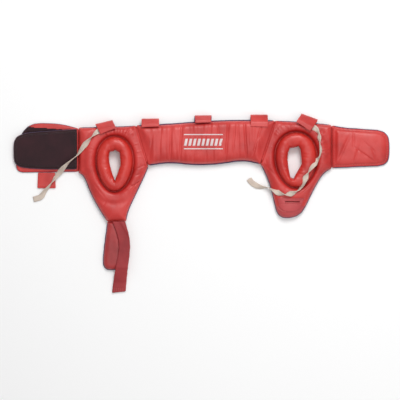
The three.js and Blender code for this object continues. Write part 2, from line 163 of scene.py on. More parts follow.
def leather(name, dark, mid, light, roughness, grain=0.35, coat=0.15):
    """Dyed leather: a fine pebbled grain, faint creases and a slow drift of colour."""
    material, tree, shader = new_material(name)
    drift = noise_at(tree, 22, 4, 0.55)
    tint = ramp(tree, drift.outputs["Fac"], [(0.32, dark), (0.5, mid), (0.7, light)])
    tree.links.new(tint.outputs["Color"], shader.inputs["Base Color"])
    shader.inputs["Coat Weight"].default_value = coat
    shader.inputs["Coat Roughness"].default_value = 0.35
    gloss = node(tree, "ShaderNodeMapRange")
    tree.links.new(noise_at(tree, 120, 3).outputs["Fac"], gloss.inputs["Value"])
    gloss.inputs["To Min"].default_value = roughness - 0.07
    gloss.inputs["To Max"].default_value = roughness + 0.09
    tree.links.new(gloss.outputs["Result"], shader.inputs["Roughness"])
    pebbles = node(tree, "ShaderNodeTexVoronoi", Scale=1100.0)
    pebbles.feature = "SMOOTH_F1"
    tree.links.new(tree.nodes["place"].outputs["Object"], pebbles.inputs["Vector"])
    creases = noise_at(tree, 260, 6, 0.62)
    height = tree.nodes.new("ShaderNodeMath")
    height.operation = "ADD"
    tree.links.new(pebbles.outputs["Distance"], height.inputs[0])
    tree.links.new(creases.outputs["Fac"], height.inputs[1])
    bump(tree, shader, height.outputs["Value"], grain, 0.00035)
    return material


def woven(name, colour, shade, scale, roughness=0.85, sheen=0.2, depth=0.4):
    """Plain weave: two crossed sets of threads."""
    material, tree, shader = new_material(name)
    place = tree.nodes.new("ShaderNodeTexCoord")
    place.name = "place"
    waves = []
    for direction in ("X", "Y"):
        wave = node(tree, "ShaderNodeTexWave", Scale=scale, Distortion=0.4, Detail=1.0)
        wave.bands_direction = direction
        tree.links.new(place.outputs["Object"], wave.inputs["Vector"])
        waves.append(wave)
    height = tree.nodes.new("ShaderNodeMath")
    height.operation = "MULTIPLY"
    tree.links.new(waves[0].outputs["Fac"], height.inputs[0])
    tree.links.new(waves[1].outputs["Fac"], height.inputs[1])
    mottle = noise_at(tree, 60, 3)
    tint = ramp(tree, mottle.outputs["Fac"], [(0.3, shade), (0.7, colour)])
    tree.links.new(tint.outputs["Color"], shader.inputs["Base Color"])
    shader.inputs["Roughness"].default_value = roughness
    shader.inputs["Sheen Weight"].default_value = sheen
    bump(tree, shader, height.outputs["Value"], depth, 0.0003)
    return material


def pile(name, colour, shade, scale, roughness=0.95, sheen=0.5):
    """Brushed loop or hook fabric: a dense, uneven nap."""
    material, tree, shader = new_material(name)
    nap = noise_at(tree, scale, 5, 0.7)
    patches = noise_at(tree, 35, 3)
    tint = ramp(tree, patches.outputs["Fac"], [(0.3, shade), (0.7, colour)])
    tree.links.new(tint.outputs["Color"], shader.inputs["Base Color"])
    shader.inputs["Roughness"].default_value = roughness
    shader.inputs["Sheen Weight"].default_value = sheen
    shader.inputs["Sheen Roughness"].default_value = 0.5
    bump(tree, shader, nap.outputs["Fac"], 0.8, 0.0006)
    return material


def pale_floor():
    material, _, shader = new_material("pale_floor")
    shader.inputs["Base Color"].default_value = (0.93, 0.93, 0.93, 1)
    shader.inputs["Roughness"].default_value = 0.9
    return material


# ---- mesh tools ----
def new_object(name, mesh):
    made = bpy.data.objects.new(name, mesh)
    bpy.context.scene.collection.objects.link(made)
    return made


def coordinates(thing):
    found = np.empty(len(thing.data.vertices) * 3)
    thing.data.vertices.foreach_get("co", found)
    return found.reshape(-1, 3)


def set_coordinates(thing, points):
    thing.data.vertices.foreach_set("co", np.asarray(points, float).ravel())
    thing.data.update()


def drawn(points):
    """x and y of some points, in millimetres on the drawing."""
    return points[:, 0] / MM - SHIFT[0], points[:, 1] / MM - SHIFT[1]


def bell(offset, width):
    """1 where offset is 0, falling off smoothly on both sides."""
    return np.exp(-((offset / width) ** 2))


def soft_step(offset):
    """0 well below 0 and 1 well above it, over a few millimetres."""
    return 1 / (1 + np.exp(-offset / 3))


def from_bmesh(name, work, *materials):
    mesh = bpy.data.meshes.new(name)
    work.to_mesh(mesh)
    work.free()
    for material in materials:
        mesh.materials.append(material)
    return new_object(name, mesh)


def tree_of(thing):
    return BVHTree.FromObject(thing, bpy.context.evaluated_depsgraph_get())


def below(tree, x, y):
    """Where a line straight down through (x, y) first meets a surface, and the normal there."""
    hit, normal, _, _ = tree.ray_cast(Vector((x, y, ABOVE_ALL)), DOWN)
    return hit, normal


def declare(nodes):
    """Hides the CAD nodes that a piece stands for."""
    if nodes:
        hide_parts(*nodes)


def apply_modifiers(thing):
    graph = bpy.context.evaluated_depsgraph_get()
    finished = bpy.data.meshes.new_from_object(thing.evaluated_get(graph))
    thing.modifiers.clear()
    thing.data = finished


def smooth_shading(thing):
    thing.data.polygons.foreach_set("use_smooth", [True] * len(thing.data.polygons))


def subdivide(thing, levels=1):
    modifier = thing.modifiers.new("finer", "SUBSURF")
    modifier.levels = modifier.render_levels = levels
    apply_modifiers(thing)


def remeshed(name, cad_names, voxel, stretch=1.0, relax=4):
    """One even mesh round some CAD nodes; stretching thin sheets upwards lets the voxels catch them."""
    work = bmesh.new()
    for cad_name in cad_names:
        work.from_mesh(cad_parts[cad_name].data)
    bmesh.ops.remove_doubles(work, verts=work.verts, dist=1e-6)
    bmesh.ops.scale(work, vec=(1, 1, stretch), verts=work.verts)
    made = from_bmesh(name, work)
    modifier = made.modifiers.new("even", "REMESH")
    modifier.mode = "VOXEL"
    modifier.voxel_size = voxel * MM
    apply_modifiers(made)
    if relax:
        softer = made.modifiers.new("relax", "SMOOTH")
        softer.iterations = relax
        apply_modifiers(made)
    points = coordinates(made)
    points[:, 2] /= stretch
    set_coordinates(made, points)
    smooth_shading(made)
    return made


def section_loops(thing, height):
    """The closed outlines of a mesh at one height, longest first, as arrays of x and y."""
    work = bmesh.new()
    work.from_mesh(thing.data)
    everything = work.verts[:] + work.edges[:] + work.faces[:]
    cut = bmesh.ops.bisect_plane(work, geom=everything, plane_co=(0, 0, height), plane_no=(0, 0, 1))
    edges = [e for e in cut["geom_cut"] if isinstance(e, bmesh.types.BMEdge)]
    neighbours = {}
    for edge in edges:
        first, second = edge.verts
        neighbours.setdefault(first, []).append(second)
        neighbours.setdefault(second, []).append(first)
    loops = []
    unused = set(neighbours)
    while unused:
        start = min(unused, key=lambda v: (v.co.x, v.co.y))
        loop, here, previous = [start], start, None
        unused.discard(start)
        while True:
            onward = [v for v in neighbours[here] if v is not previous and (v in unused)]
            if not onward:
                break
            previous, here = here, onward[0]
            unused.discard(here)
            loop.append(here)
        loops.append(np.array([(v.co.x, v.co.y) for v in loop]))
    work.free()
    return sorted((loop for loop in loops if len(loop) > 8), key=len, reverse=True)


def loop_distance(points, loop):
    """Distance in plan from each point to a closed outline, in metres, and the place along the outline."""
    starts = loop
    steps = np.roll(loop, -1, axis=0) - loop
    lengths = np.linalg.norm(steps, axis=1)
    along = np.concatenate([[0], np.cumsum(lengths)[:-1]])
    best = np.full(len(points), 1e9)
    place = np.zeros(len(points))
    for start, step, length, offset in zip(starts, steps, lengths, along):
        if length < 1e-9:
            continue
        share = np.clip(((points[:, :2] - start) @ step) / length ** 2, 0, 1)
        gap = np.linalg.norm(points[:, :2] - (start + share[:, None] * step), axis=1)
        closer = gap < best
        best[closer] = gap[closer]
        place[closer] = (offset + share * length)[closer]
    return best, place


def dome(distance, reach):
    """0 at an edge, rising like a quarter circle to 1 at reach."""
    share = np.clip(distance / reach, 0, 1)
    return np.sqrt(1 - (1 - share) ** 2)


def noise_of(first, second, seed):
    return np.array([noise.noise(Vector((a, b, seed))) for a, b in zip(first, second)])


def noise_field(points, scale_x, scale_y, seed):
    """Smooth noise in plan between about -1 and 1; the scales are the sizes of its features in metres."""
    return noise_of(points[:, 0] / scale_x, points[:, 1] / scale_y, seed)


def crease(points, x, y, lean, width, depth, low, high):
    """A furrow that runs up the pad through (x, y), leaning by lean, between two heights on the drawing."""
    px, py = drawn(points)
    across = (px - x) - lean * (py - y)
    return -depth * MM * bell(across, width) * soft_step(py - low) * soft_step(high - py)


def puff(thing, hold, pressure=4.0, most=4.0):
    """Swells a pad with cloth simulation; hold is an array, True where the leather is sewn down."""
    rest = coordinates(thing)
    group = thing.vertex_groups.new(name="sewn")
    group.add([int(i) for i in np.flatnonzero(hold)], 1.0, "REPLACE")
    cloth = thing.modifiers.new("cloth", "CLOTH")
    cloth.settings.quality = 4
    cloth.settings.mass = 0.3
    cloth.settings.tension_stiffness = cloth.settings.compression_stiffness = 12
    cloth.settings.bending_stiffness = 0.4
    cloth.settings.use_pressure = True
    cloth.settings.uniform_pressure_force = pressure
    cloth.settings.effector_weights.gravity = 0
    cloth.settings.vertex_group_mass = "sewn"
    cloth.collision_settings.use_collision = False
    cloth.collision_settings.use_self_collision = False
    for step in range(1, 15):
        bpy.context.scene.frame_set(step)
    apply_modifiers(thing)
    bpy.context.scene.frame_set(1)
    thing.vertex_groups.clear()
    move = coordinates(thing) - rest
    length = np.linalg.norm(move, axis=1, keepdims=True)
    capped = move * np.minimum(1, most * MM / np.maximum(length, 1e-9))
    set_coordinates(thing, rest + capped)


def join(target, *others):
    with bpy.context.temp_override(active_object=target, selected_editable_objects=[target, *others]):
        bpy.ops.object.join()
    return target


def keep_faces(name, source, chosen, normals):
    """A copy of source with only the chosen faces, shaded as part of the whole."""
    work = bmesh.new()
    work.from_mesh(source.data)
    mark = work.verts.layers.int.new("from")
    for i, vertex in enumerate(work.verts):
        vertex[mark] = i
    work.faces.ensure_lookup_table()
    bmesh.ops.delete(work, geom=[f for f, keep in zip(work.faces, chosen) if not keep], context="FACES")
    origin = [v[mark] for v in work.verts]
    piece = from_bmesh(name, work, *source.data.materials)
    piece.data.attributes.remove(piece.data.attributes["from"])
    piece.data.normals_split_custom_set_from_vertices([normals[i] for i in origin])
    return piece


def split_across(source, cuts, names):
    """Cuts a piece at planes of constant x, in drawing millimetres, into named pieces that still meet."""
    limits = [-1e9, *[(c + SHIFT[0]) * MM for c in cuts], 1e9]
    centres = np.array([f.center.x for f in source.data.polygons])
    normals = [v.normal.copy() for v in source.data.vertices]
    pieces = []
    for name, low, high in zip(names, limits, limits[1:]):
        chosen = (centres >= low) & (centres < high)
        pieces.append(keep_faces(name, source, chosen, normals))
    bpy.data.objects.remove(source)
    return pieces


def tube(name, path, radius, material, closed=True, sides=6):
    """A thin round edging along a path of points."""
    curve = bpy.data.curves.new(name, "CURVE")
    curve.dimensions = "3D"
    curve.bevel_depth = radius * MM
    curve.bevel_resolution = sides // 3
    curve.use_fill_caps = not closed
    spline = curve.splines.new("POLY")
    spline.points.add(len(path) - 1)
    for point, place in zip(spline.points, path):
        point.co = (*place, 1)
    spline.use_cyclic_u = closed
    holder = new_object(name + "_curve", curve)
    graph = bpy.context.evaluated_depsgraph_get()
    mesh = bpy.data.meshes.new_from_object(holder.evaluated_get(graph))
    bpy.data.objects.remove(holder)
    mesh.materials.clear()
    mesh.materials.append(material)
    made = new_object(name, mesh)
    smooth_shading(made)
    return made


# ---- stitching ----
STITCH_PITCH = 3.4
STITCH_LENGTH = 2.3
STITCH_WIDTH = 0.75


def stitches(name, path, surface, material, sink=0.1):
    """A row of thread stitches along a path, laid on a surface below it."""
    tree = tree_of(surface)
    work = bmesh.new()
    dense = [Vector(p) for p in path]
    for start, end in zip(dense, dense[1:]):
        run = end - start
        count = max(1, int(run.length / (STITCH_PITCH * MM)))
        for i in range(count):
            centre = start + run * ((i + 0.5) / count)
            hit, normal = below(tree, centre.x, centre.y)
            if hit is None:
                continue
            along = (run - normal * run.dot(normal)).normalized()
            across = normal.cross(along)
            base = hit + normal * (STITCH_WIDTH * 0.3 - sink) * MM
            rings = []
            for share, girth in ((-0.5, 0.35), (-0.25, 0.95), (0.25, 0.95), (0.5, 0.35)):
                ring = []
                for k in range(6):
                    turn = math.tau * k / 6
                    spread = across * math.cos(turn) + normal * math.sin(turn)
                    offset = along * (share * STITCH_LENGTH) + spread * (girth * STITCH_WIDTH / 2)
                    ring.append(work.verts.new(base + offset * MM))
                rings.append(ring)
            for first, second in zip(rings, rings[1:]):
                for k in range(6):
                    work.faces.new((first[k], first[(k + 1) % 6], second[(k + 1) % 6], second[k]))
            work.faces.new(rings[0][::-1])
            work.faces.new(rings[-1])
    work.normal_update()
    made = from_bmesh(name, work, material)
    smooth_shading(made)
    return made


def settle(points, surfaces, lift):
    """Lets each point of a path down onto the highest surface under it."""
    trees = [tree_of(surface) for surface in surfaces]
    settled = []
    for point in points:
        top = 0.0
        for tree in trees:
            hit, _ = below(tree, point[0], point[1])
            if hit is not None:
                top = max(top, hit.z)
        settled.append(Vector((point[0], point[1], top + lift * MM)))
    return settled


# ---- the materials of this object ----
RED = leather("red_leather", (0.42, 0.016, 0.014), (0.53, 0.026, 0.022), (0.60, 0.045, 0.040), 0.42)
RED_RING = leather(
    "red_leather_ring", (0.44, 0.012, 0.008), (0.54, 0.019, 0.012), (0.60, 0.030, 0.020), 0.38, 0.25,
)
RED_STRAP = leather(
    "red_strap", (0.25, 0.014, 0.018), (0.32, 0.022, 0.026), (0.38, 0.034, 0.036), 0.62, 0.5, 0.0,
)
RED_CHIN = leather(
    "red_chin", (0.26, 0.013, 0.014), (0.36, 0.024, 0.026), (0.44, 0.036, 0.036), 0.46,
)
RED_PATCH = leather(
    "red_patch", (0.36, 0.032, 0.038), (0.44, 0.044, 0.050), (0.50, 0.062, 0.066), 0.55, 0.5, 0.0,
)
LINING = woven("lining_fabric", (0.075, 0.075, 0.34), (0.045, 0.045, 0.24), 900)
# the edging: the lining's blue darkened to dark purple, painted shade for the lining seen under the pads'
# rounded edges
EDGING_IN_PAINTED_SHADE = woven("lining_edge_painted_shade", (0.085, 0.035, 0.12), (0.05, 0.02, 0.08), 900)
LOOP_PILE = pile("loop_pile", (0.034, 0.008, 0.012), (0.019, 0.005, 0.008), 900, sheen=0.14)
HOOK_PILE = pile("hook_pile", (0.012, 0.012, 0.014), (0.006, 0.006, 0.007), 1400, 0.7, 0.1)
LACE = woven("lace_cotton", (0.78, 0.66, 0.56), (0.64, 0.53, 0.45), 1300, 0.9, 0.1, 0.8)
THREAD = woven("red_thread", (0.60, 0.13, 0.12), (0.50, 0.09, 0.085), 3000, 0.7, 0.0)
SLIT = woven("slit_shade", (0.14, 0.014, 0.018), (0.09, 0.008, 0.012), 900)
PRINT = leather(
    "print_ink", (0.62, 0.50, 0.50), (0.72, 0.60, 0.60), (0.78, 0.68, 0.67), 0.5, 0.2, 0.0,
)


def paint(thing, *materials):
    thing.data.materials.clear()
    for material in materials:
        thing.data.materials.append(material)


# ---- pads of the band ----
THIRDS = ("left", "centre", "right")
PAD_BASE = 3.8          # underside of the pads
FOREHEAD_FULL = 20.0
EDGE_SHARE = 0.42       # height of a pad at its sewn edge, as a share of its full height
CROWN_SHARE = 0.62      # the same along the crown edge
SEAM_SHARE = 0.95       # the same along the seams with the ears
EDGE_REACH = 20.0
CROWN_REACH = 11.0
# furrows as x, y, lean, width, depth, low, high: see crease()
FOREHEAD_CREASES = [
    (-51, 100, 0.02, 1.5, 1.7, 60, 150), (-34, 100, 0.04, 1.4, 1.5, 60, 146),
    (-69, 98, 0.05, 1.4, 0.9, 60, 128), (-12, 84, 0.03, 1.3, 0.9, 58, 92),
    (-3, 84, 0.0, 1.2, 0.7, 58, 90), (9, 82, -0.04, 1.3, 0.9, 58, 92),
    (21, 84, -0.03, 1.2, 0.9, 58, 92), (-14, 130, -0.1, 1.3, 0.9, 120, 146),
    (4, 130, 0.0, 1.2, 0.7, 120, 146), (17, 128, 0.08, 1.3, 0.9, 118, 146),
    (30, 120, -0.12, 1.4, 1.1, 88, 146), (44, 104, 0.07, 1.6, 1.7, 60, 150),
    (55, 104, 0.08, 1.2, 1.0, 76, 146), (64, 100, -0.04, 1.2, 0.9, 66, 140),
    (75.5, 106, -0.06, 1.5, 1.8, 60, 152), (81, 98, -0.04, 1.2, 0.8, 62, 124),
    (94, 104, 0.28, 1.4, 1.2, 66, 138), (-84, 100, 0.16, 1.3, 0.7, 70, 118),
]
# the lines along which two padded pieces are sewn edge to edge; the first two are the ears'
INNER_SEAMS = [
    ((-110.3, 131.9), (-90.3, 66.5)),
    ((125.3, 139.4), (102.2, 69.8)),
    ((-207.8, 40), (-207.8, 140)),
    ((221.7, 50), (221.7, 140)),
    ((-176, -29.5), (-110, -29.5)),
]
SEAM_TOP = 15.6         # height of the leather along the seams between the pads
SEAM_GROOVE = 1.9


def seam_distance(points, seams=INNER_SEAMS):
    """How far each point is from the nearest seam line, seen from above, in metres."""
    nearest = np.full(len(points), 1.0)
    for start, end in seams:
        a, b = np.array(at(*start))[:2], np.array(at(*end))[:2]
        along = b - a
        share = np.clip(((points[:, :2] - a) @ along) / (along @ along), 0, 1)
        nearest = np.minimum(nearest, np.linalg.norm(points[:, :2] - (a + share[:, None] * along), axis=1))
    return nearest


def close_seams(points):
    """Brings a pad's edge up to its neighbour's along the seams between pads, with a fine groove left."""
    near = seam_distance(points, INNER_SEAMS[:2]) / MM
    pull = bell(near, 6.5)
    target = SEAM_TOP - SEAM_GROOVE * bell(near, 1.5)
    upper = np.clip((points[:, 2] / MM - 8) / 2.5, 0, 1)
    points[:, 2] += (target * MM - points[:, 2]) * pull * upper


def reshape_heights(thing, base, share):
    """Scales each point's height above base by its share."""
    points = coordinates(thing)
    high = points[:, 2] > base * MM
    points[high, 2] = base * MM + (points[high, 2] - base * MM) * share[high]
    set_coordinates(thing, points)


def upper_weight(points, base, top):
    """0 on a pad's underside and 1 on its upper half, for wrinkles that belong to the outer face."""
    return np.clip((points[:, 2] / MM - base - 1.0) / (0.35 * (top - base)), 0, 1)


def edge_share(points, outline, crown_low):
    """Height share of a pad: thin at its sewn edge, full inside, steeper at the crown edge."""
    distance, _ = loop_distance(points, outline)
    crown = soft_step(drawn(points)[1] - crown_low)
    reach = (EDGE_REACH * (1 - crown) + CROWN_REACH * crown) * MM
    low = EDGE_SHARE * (1 - crown) + CROWN_SHARE * crown
    low = low + (SEAM_SHARE - low) * bell(seam_distance(points, INNER_SEAMS[:2]) / MM, 7)
    return low + (1 - low) * dome(distance, reach), distance


def forehead():
    parts = [f"forehead_{third}_{layer}" for third in THIRDS for layer in ("cover", "foam")]
    pad = remeshed("forehead_pad", parts, 2.6)
    outline = section_loops(pad, 0.010)[0]
    subdivide(pad)
    points = coordinates(pad)
    share, distance = edge_share(points, outline, 116)
    reshape_heights(pad, PAD_BASE, share)
    weight = upper_weight(points, PAD_BASE, FOREHEAD_FULL) * dome(distance, 0.006)
    points = coordinates(pad)
    rise = np.zeros(len(points))
    for furrow in FOREHEAD_CREASES:
        rise += crease(points, *furrow)
    folds = noise_field(points, 0.0065, 0.055, 3.1)
    rise += (np.abs(folds) - 0.25) * 1.3 * MM
    rise += noise_field(points, 0.03, 0.04, 9.0) * 0.7 * MM
    points[:, 2] += rise * weight
    points[:, 2] = np.minimum(points[:, 2], (FOREHEAD_FULL + 1.0) * MM)
    close_seams(points)
    set_coordinates(pad, points)
    smooth_shading(pad)
    paint(pad, RED)
    return pad, outline


def offset_ring(outline, step, out):
    """Every step-th point of an outline, moved outwards by a distance in millimetres."""
    ring = outline[::step]
    before, after = np.roll(ring, 1, axis=0), np.roll(ring, -1, axis=0)
    along = after - before
    along /= np.maximum(np.linalg.norm(along, axis=1, keepdims=True), 1e-9)
    normal = np.stack([along[:, 1], -along[:, 0]], axis=1)
    area = 0.5 * np.sum(ring[:, 0] * after[:, 1] - after[:, 0] * ring[:, 1])
    if area < 0:
        normal = -normal
    return ring + normal * out * MM


def edging(name, outline, height, radius=0.8, out=0.25):
    """The bound lining edge just outside a pad's outline, red where the pad is sewn to a neighbour; its
    dark purple is the lining's colour darkened with painted shade.
    """
    moved = offset_ring(outline, max(1, len(outline) // 240), out)
    bound = tube(name, [(x, y, height * MM) for x, y in moved], radius, EDGING_IN_PAINTED_SHADE)
    paint(bound, EDGING_IN_PAINTED_SHADE, RED)
    centres = np.array([face.center for face in bound.data.polygons])
    inside = seam_distance(centres) < 5 * MM
    for face, hidden in zip(bound.data.polygons, inside):
        face.material_index = int(hidden)
    return bound


FOREHEAD_CUTS = (-71, 0, 76)
FOREHEAD_BODIES = [
    ("left_ear", "forehead_left", -98, -76),
    ("forehead_left", "forehead_centre", -62, -22),
    ("forehead_centre", "forehead_right", 20, 60),
    ("forehead_right", "right_ear", 88, 108),
]


def add_forehead():
    pad, outline = forehead()
    join(pad, edging("forehead_edge", outline, PAD_BASE + 1.4, 1.25, 0.85))
    names = ["forehead_pad_1", "forehead_pad_2", "forehead_pad_3", "forehead_pad_4"]
    surface = pad.copy()
    surface.data = pad.data.copy()
    surface.name = "forehead_surface"
    pieces = split_across(pad, FOREHEAD_CUTS, names)
    replaced = [[f"forehead_{third}_cover", f"forehead_{third}_foam"] for third in THIRDS]
    for piece, nodes, (a, b, start, end) in zip(pieces, [*replaced, []], FOREHEAD_BODIES):
        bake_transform(piece)
        declare(nodes)
    bpy.context.scene.collection.objects.link(surface)
    return surface


# ---- ear panels ----
EAR_FULL = 17.0
RING_FULL = 24.0
RING_MIDDLE = 13.0      # height of the middle of the ring's round section
RING_RADIUS = 10.6
ROLL_REACH = 9.0
PUCKER = 3.7            # spacing of the gathers round a ring
PUCKER_DEPTH = 3.6


def ear_panel(side, seam_creases, pucker_centre, pucker_spread):
    pad = remeshed(f"{side}_ear_pad", [f"{side}_ear_cover", f"{side}_ear_foam"], 2.3)
    outline, opening = section_loops(pad, 0.010)[:2]
    if outline[:, 0].max() - outline[:, 0].min() < opening[:, 0].max() - opening[:, 0].min():
        outline, opening = opening, outline
    base_points = coordinates(pad)
    edge, _ = loop_distance(base_points, outline)
    inner, _ = loop_distance(base_points, opening)
    hold = (edge < 0.004) | (inner < 0.003) | (base_points[:, 2] < 0.007)
    puff(pad, hold)
    subdivide(pad)
    points = coordinates(pad)
    share, distance = edge_share(points, outline, 112)
    inner, place = loop_distance(points, opening)
    roll = 0.40 + 0.60 * dome(inner, ROLL_REACH * MM)
    valley = 1 - 0.14 * bell(inner / MM - 21, 5)
    reshape_heights(pad, PAD_BASE, share * roll * valley)
    weight = upper_weight(points, PAD_BASE, EAR_FULL) * dome(distance, 0.006)
    centre = opening.mean(axis=0)
    angle = np.arctan2(points[:, 1] - centre[1], points[:, 0] - centre[0])
    turned = np.abs((angle - pucker_centre + math.pi) % math.tau - math.pi)
    strong = bell(turned, pucker_spread)
    gathers = (np.abs(noise_of(place / (PUCKER * MM), inner / 0.08, 5.0)) - 0.22) * PUCKER_DEPTH
    rise = gathers * bell(inner / MM - 12, 14) * (0.16 + strong) * MM
    for furrow in seam_creases:
        rise += crease(points, *furrow)
    rise += noise_field(points, 0.022, 0.022, 4.0) * 0.7 * MM
    points = coordinates(pad)
    points[:, 2] += rise * weight
    close_seams(points)
    set_coordinates(pad, points)
    smooth_shading(pad)
    paint(pad, RED)
    gusset = [(x, y, 6.2 * MM) for x, y in opening[::max(1, len(opening) // 90)]]
    line = INNER_SEAMS[0 if side == "left" else 1]
    ends = [np.array(at(*end, SEAM_TOP - 2.6)) for end in line]
    welt_line = [ends[0] + (ends[1] - ends[0]) * t for t in np.linspace(0.06, 0.93, 12)]
    join(pad, tube(f"{side}_gusset", gusset, 2.2, RED), tube(f"{side}_welt", welt_line, 1.5, RED, False))
    return pad, outline, opening


# corners of each ear hole in the drawing, anticlockwise from the upper right
HOLE_CORNERS = {
    "left": [
        (-137.9, 86.4), (-141, 88.6), (-145.6, 91.0), (-149, 89.0), (-154.6, 87.6), (-155.6, 80),
        (-154.8, 69), (-151, 54), (-145.8, 38.8), (-141.6, 51), (-136.6, 65.5), (-137, 78),
    ],
    "right": [
        (169, 84), (168, 92.2), (164.6, 97.4), (156, 95.2), (150.6, 94.6), (147.2, 86),
        (146.6, 76), (148.4, 60), (151.6, 45.2), (156.5, 43.2), (163, 55), (170, 67),
    ],
}
HOLE_KEEP = 1.05        # how much of the way the ring goes towards those corners


def reach_of(loop, centre, angles):
    """Distance from a centre to a closed loop round it, in each direction."""
    offsets = loop - centre
    turned = np.arctan2(offsets[:, 1], offsets[:, 0])
    order = np.argsort(turned)
    return np.interp(angles, turned[order], np.linalg.norm(offsets, axis=1)[order], period=math.tau)


def shape_hole(ring, hole, corners):
    """Draws the ring's inner side towards the crumpled shape of the real opening."""
    corners = np.array([np.array(at(*corner))[:2] for corner in corners])
    closed = np.vstack([corners, corners[:1]])
    quarters = (0, 0.25, 0.5, 0.75)
    wanted = np.vstack([a + (b - a) * t for a, b in zip(closed, closed[1:]) for t in quarters])
    centre = 0.5 * (hole.mean(axis=0) + corners.mean(axis=0))
    points = coordinates(ring)
    offsets = points[:, :2] - centre
    angles = np.arctan2(offsets[:, 1], offsets[:, 0])
    change = reach_of(wanted, centre, angles) - reach_of(hole, centre, angles)
    distance, _ = loop_distance(points, hole)
    fade = bell(distance / MM, 8) * HOLE_KEEP
    away = offsets / np.maximum(np.linalg.norm(offsets, axis=1, keepdims=True), 1e-9)
    points[:, :2] += away * (change * fade)[:, None]
    set_coordinates(ring, points)


def ear_ring(side):
    """The padded ring: a leather tube of round section, gathered a little on its inner side."""
    ring = remeshed(f"{side}_ear_ring", [f"{side}_ear_ring_cover", f"{side}_ear_ring_core"], 1.9)
    outer, hole = section_loops(ring, 0.012)[:2]
    if np.ptp(outer[:, 0]) < np.ptp(hole[:, 0]):
        outer, hole = hole, outer
    subdivide(ring)
    points = coordinates(ring)
    to_outer, _ = loop_distance(points, outer)
    to_hole, place = loop_distance(points, hole)
    across = to_hole / np.maximum(to_outer + to_hole, 1e-6)
    top = points[:, 2] > 12.5 * MM
    round_height = RING_MIDDLE + RING_RADIUS * np.sqrt(np.clip(1 - (2 * across - 1) ** 2, 0, 1))
    points[top, 2] = 0.35 * points[top, 2] + 0.65 * np.minimum(round_height[top], RING_FULL) * MM
    folds = noise_of(place / 0.006, across * 1.5, 8.0)
    shallow = (np.abs(folds) - 0.2) * (0.5 + 1.5 * bell(across - 0.15, 0.25))
    waver = noise_field(points, 0.013, 0.013, 2.0) * 0.5
    weight = np.clip((points[:, 2] / MM - 8) / 6, 0, 1)
    points[:, 2] += (shallow + waver) * weight * MM
    set_coordinates(ring, points)
    shape_hole(ring, hole, HOLE_CORNERS[side])
    smooth_shading(ring)
    paint(ring, RED_RING)
    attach(ring, f"{side}_ear")
    declare([f"{side}_ear_ring_cover", f"{side}_ear_ring_core"])
    return ring


EAR_CREASES = {
    "left": [
        (-100, 44, 0.9, 1.4, 1.9, 26, 60), (-104, 38, 1.6, 1.8, 1.7, 24, 52),
        (-112, 26, -1.2, 1.4, 0.9, 12, 34), (-105, 61, 2.4, 3.4, 1.6, 54, 67),
        (-101, 52, 2.0, 3.0, 1.2, 45, 59), (-170, 20, -0.8, 1.5, 0.7, 8, 34),
        (-165, -2, 0.7, 1.5, 0.7, -10, 8),
    ],
    "right": [
        (112, 62, -1.0, 1.4, 1.0, 48, 76), (184, 30, 1.1, 1.5, 1.0, 18, 42),
        (128, 8, 0.9, 1.4, 0.8, -2, 20), (107, 80, -0.35, 1.3, 0.8, 64, 118),
    ],
}
# direction of the deepest gathers, and their spread
PUCKER_AT = {"left": (1.35, 0.9), "right": (1.25, 1.1)}


def add_ears():
    surfaces = {}
    for side in ("left", "right"):
        centre, spread = PUCKER_AT[side]
        pad, outline, _ = ear_panel(side, EAR_CREASES[side], centre, spread)
        if side == "right":
            paint(pad, RED, RED_PATCH)
            for face in pad.data.polygons:
                face.material_index = int(face.center.y < at(0, -3.5).y and face.center.z > 5 * MM)
        join(pad, edging(f"{side}_ear_edge", outline, PAD_BASE + 1.4))
        ring = ear_ring(side)
        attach(pad, f"{side}_ear")
        declare([f"{side}_ear_cover", f"{side}_ear_foam"])
        surfaces[side] = (pad, ring)
    return surfaces


# ---- linings ----
def quilt(thing, top):
    """Slight hollows in the lining's underside, held off the table it rests on."""
    points = coordinates(thing)
    below = points[:, 2] < 0.5 * top * MM
    dimple = np.abs(noise_field(points, 0.02, 0.02, 6.0)) * 0.8 * MM
    points[below, 2] += dimple[below]
    set_coordinates(thing, points)


def add_linings():
    names = [f"forehead_{third}_lining" for third in THIRDS]
    band = remeshed("forehead_lining_all", names, 2.8, 3.0)
    quilt(band, 3.5)
    paint(band, LINING)
    pieces = split_across(band, FOREHEAD_CUTS, [f"forehead_inner_{i}" for i in (1, 2, 3, 4)])
    for i, (piece, (a, b, start, end)) in enumerate(zip(pieces, FOREHEAD_BODIES)):
        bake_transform(piece)
        declare(names[i:i + 1])
    for side in ("left", "right"):
        lining = remeshed(f"{side}_ear_inner", [f"{side}_ear_lining"], 2.8, 3.0)
        quilt(lining, 3.5)
        paint(lining, LINING)
        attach(lining, f"{side}_ear")
        declare([f"{side}_ear_lining"])


# ---- closures ----
def inset_path(outline, distance, step):
    """A closed line of points inside an outline, for a row of stitches."""
    moved = offset_ring(outline, step, -distance)
    return [Vector((x, y, 0)) for x, y in np.vstack([moved, moved[:1]])]


RIGHT_CLOSURE_FOLDS = [
    (240.2, 90, 0.45, 2.6, 1.5, 68, 112), (259, 108, 0.0, 2.0, 1.0, 98, 122),
    (264, 84, 0.31, 2.2, 1.2, 70, 94), (277.8, 83.2, -1.39, 2.0, 1.5, 72, 94),
    (294.3, 83, -0.39, 2.0, 0.9, 70, 94), (284, 98, -1.07, 2.0, 0.8, 90, 105),
]
SEAM_HEIGHT = 12.0      # where a closure is sewn to its ear panel


def meet_ear(points, seam_x, base):
    """Lifts the end of a closure up to the ear panel it is sewn to."""
    pull = bell(drawn(points)[0] - seam_x, 2.2) * np.clip((points[:, 2] / MM - base) / 2.5, 0, 1)
    points[:, 2] += (SEAM_HEIGHT * MM - points[:, 2]) * pull


